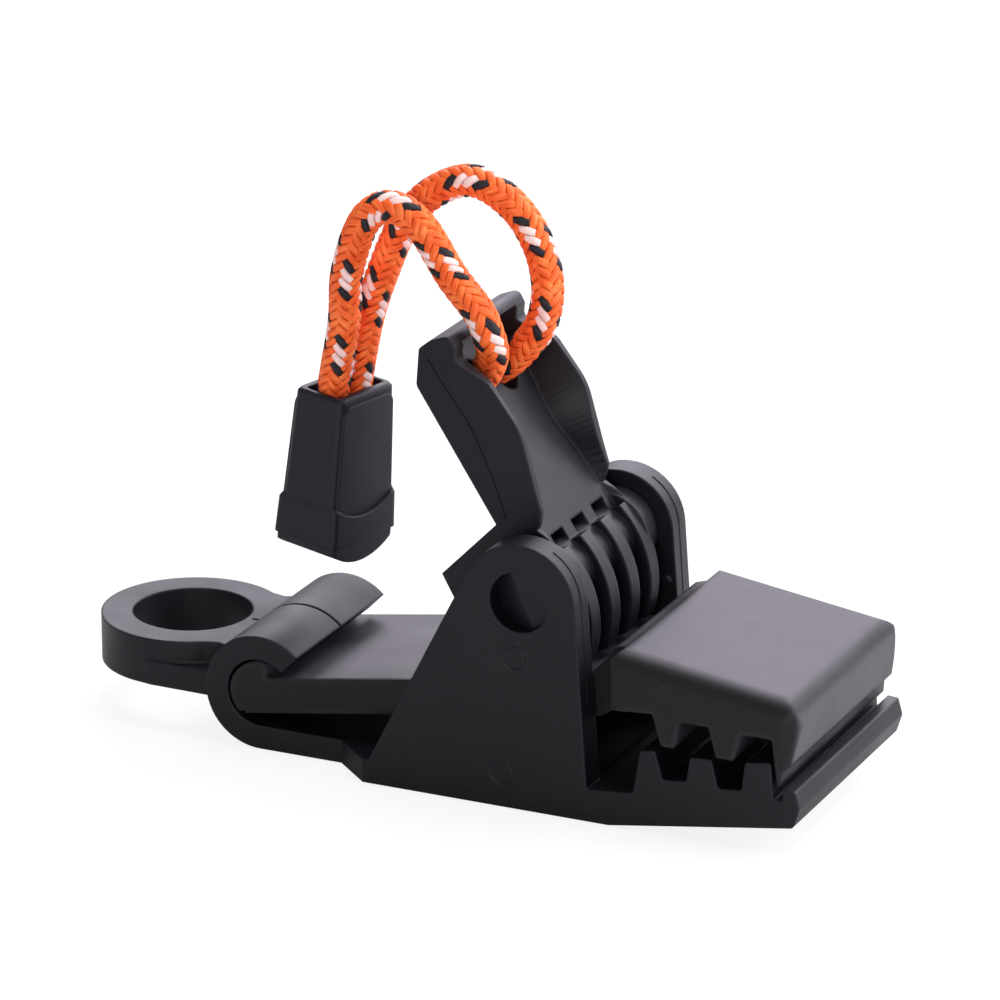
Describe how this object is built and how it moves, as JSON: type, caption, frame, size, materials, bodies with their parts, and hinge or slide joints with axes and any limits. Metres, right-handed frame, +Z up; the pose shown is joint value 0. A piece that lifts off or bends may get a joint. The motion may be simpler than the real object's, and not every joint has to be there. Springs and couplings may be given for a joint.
{
  "type": "tarp clip",
  "caption": "Toothed tarp clip: hooked lower frame with a tie eye, hinged upper jaw pressed down by a ribbed thumb cam lever, and a braided cord pull.",
  "frame": {"origin": "middle of the clip on the plane of its flat underside", "axes": "+X from the tie eye to the mouth of the jaws, +Y across the jaws, +Z up through the tie eye"},
  "size_m": [0.1022, 0.0342, 0.075],
  "materials": {
    "frame_plastic": "satin black moulded nylon",
    "jaw_plastic": "satin black moulded nylon, lightly scuffed on top",
    "lever_plastic": "satin black moulded nylon",
    "braided_cord": "orange braided polyester cord with black and white tracers",
    "end_plastic": "satin black moulded plastic"
  },
  "bodies": {
    "base": {"base_frame": "frame_plastic"},
    "jaw": {"upper_jaw": "jaw_plastic"},
    "lever": {"cam_lever": "lever_plastic"},
    "pull": {"pull_cord": "braided_cord", "pull_shell": "end_plastic", "pull_plug": "end_plastic"}
  },
  "joints": [
    {"name": "lever_pivot", "type": "hinge", "parent": "base", "child": "lever", "pos_m": [0.0141, 0, 0.027], "axis": [0, -1, 0], "range_deg": [-6, 68.7]},
    {"name": "jaw_hinge", "type": "hinge", "parent": "base", "child": "jaw", "pos_m": [-0.0236, 0, 0.0075], "axis": [0, 1, 0], "range_deg": [-0.2, 1.05]},
    {"name": "pull_swing", "type": "hinge", "parent": "lever", "child": "pull", "pos_m": [-0.002, 0, 0.069], "axis": [0, -1, 0], "range_deg": [-118, 11], "deforming": ["pull_cord"]}
  ],
  "couplings": [
    {"joint": "jaw_hinge", "follows": "lever_pivot", "ratio": 0.014556},
    {"joint": "pull_swing", "follows": "lever_pivot", "ratio": -1.7}
  ]
}
